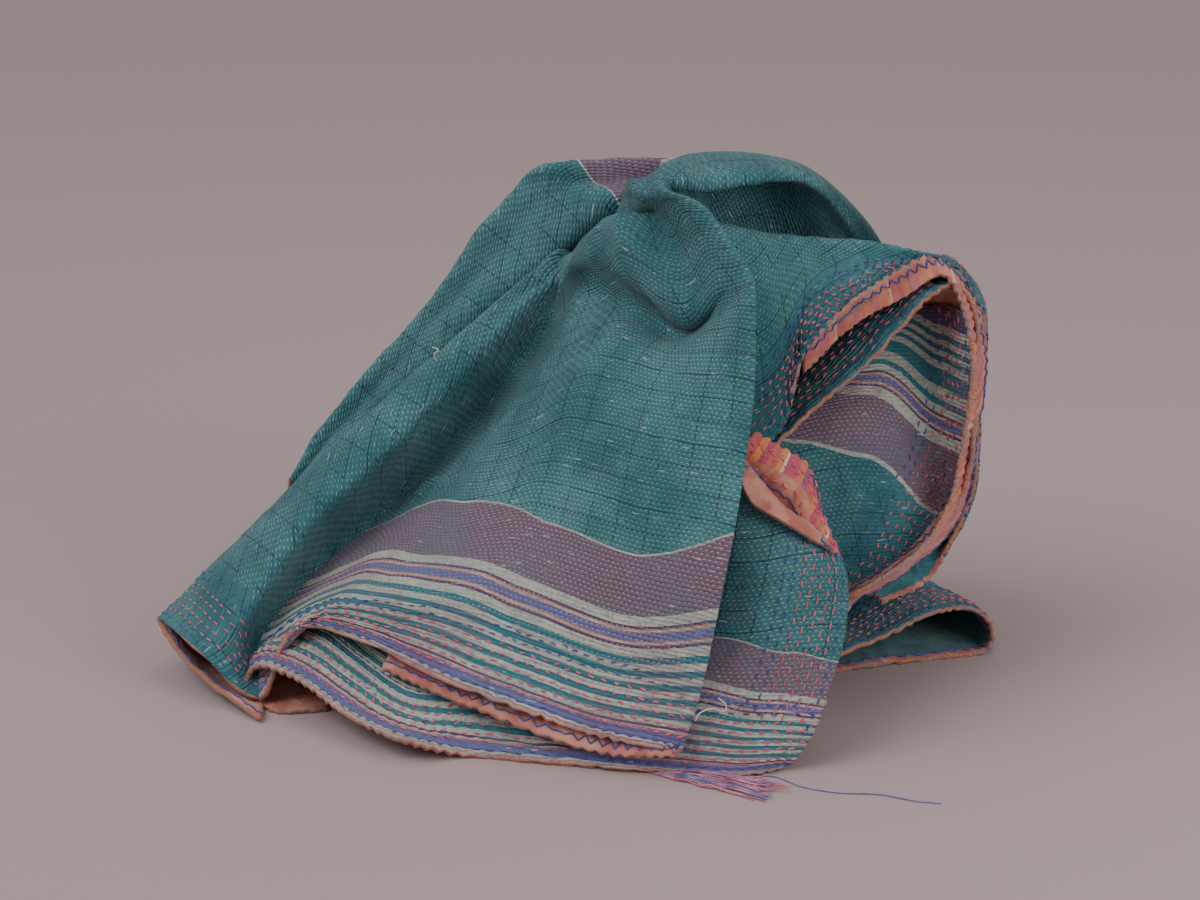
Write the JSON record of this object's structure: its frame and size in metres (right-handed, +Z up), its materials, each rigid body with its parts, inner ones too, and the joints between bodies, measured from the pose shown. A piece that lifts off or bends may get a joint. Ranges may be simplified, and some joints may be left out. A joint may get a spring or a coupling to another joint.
{
  "type": "kantha quilt",
  "caption": "Hand-stitched quilt thrown down in a heap, its hem and border in front and its folded side open to the right.",
  "frame": {"origin": "on the floor under the middle of the heap's box", "axes": "+Z up, +X to the right as the front hem is faced, +Y to the rear"},
  "size_m": [0.5622, 0.4216, 0.3485],
  "materials": {
    "quilted_cotton": "matte, running-stitched",
    "cotton_thread": "matte"
  },
  "bodies": {
    "root": {"quilt": "quilted_cotton", "corner_tassel": "cotton_thread"}
  },
  "joints": []
}
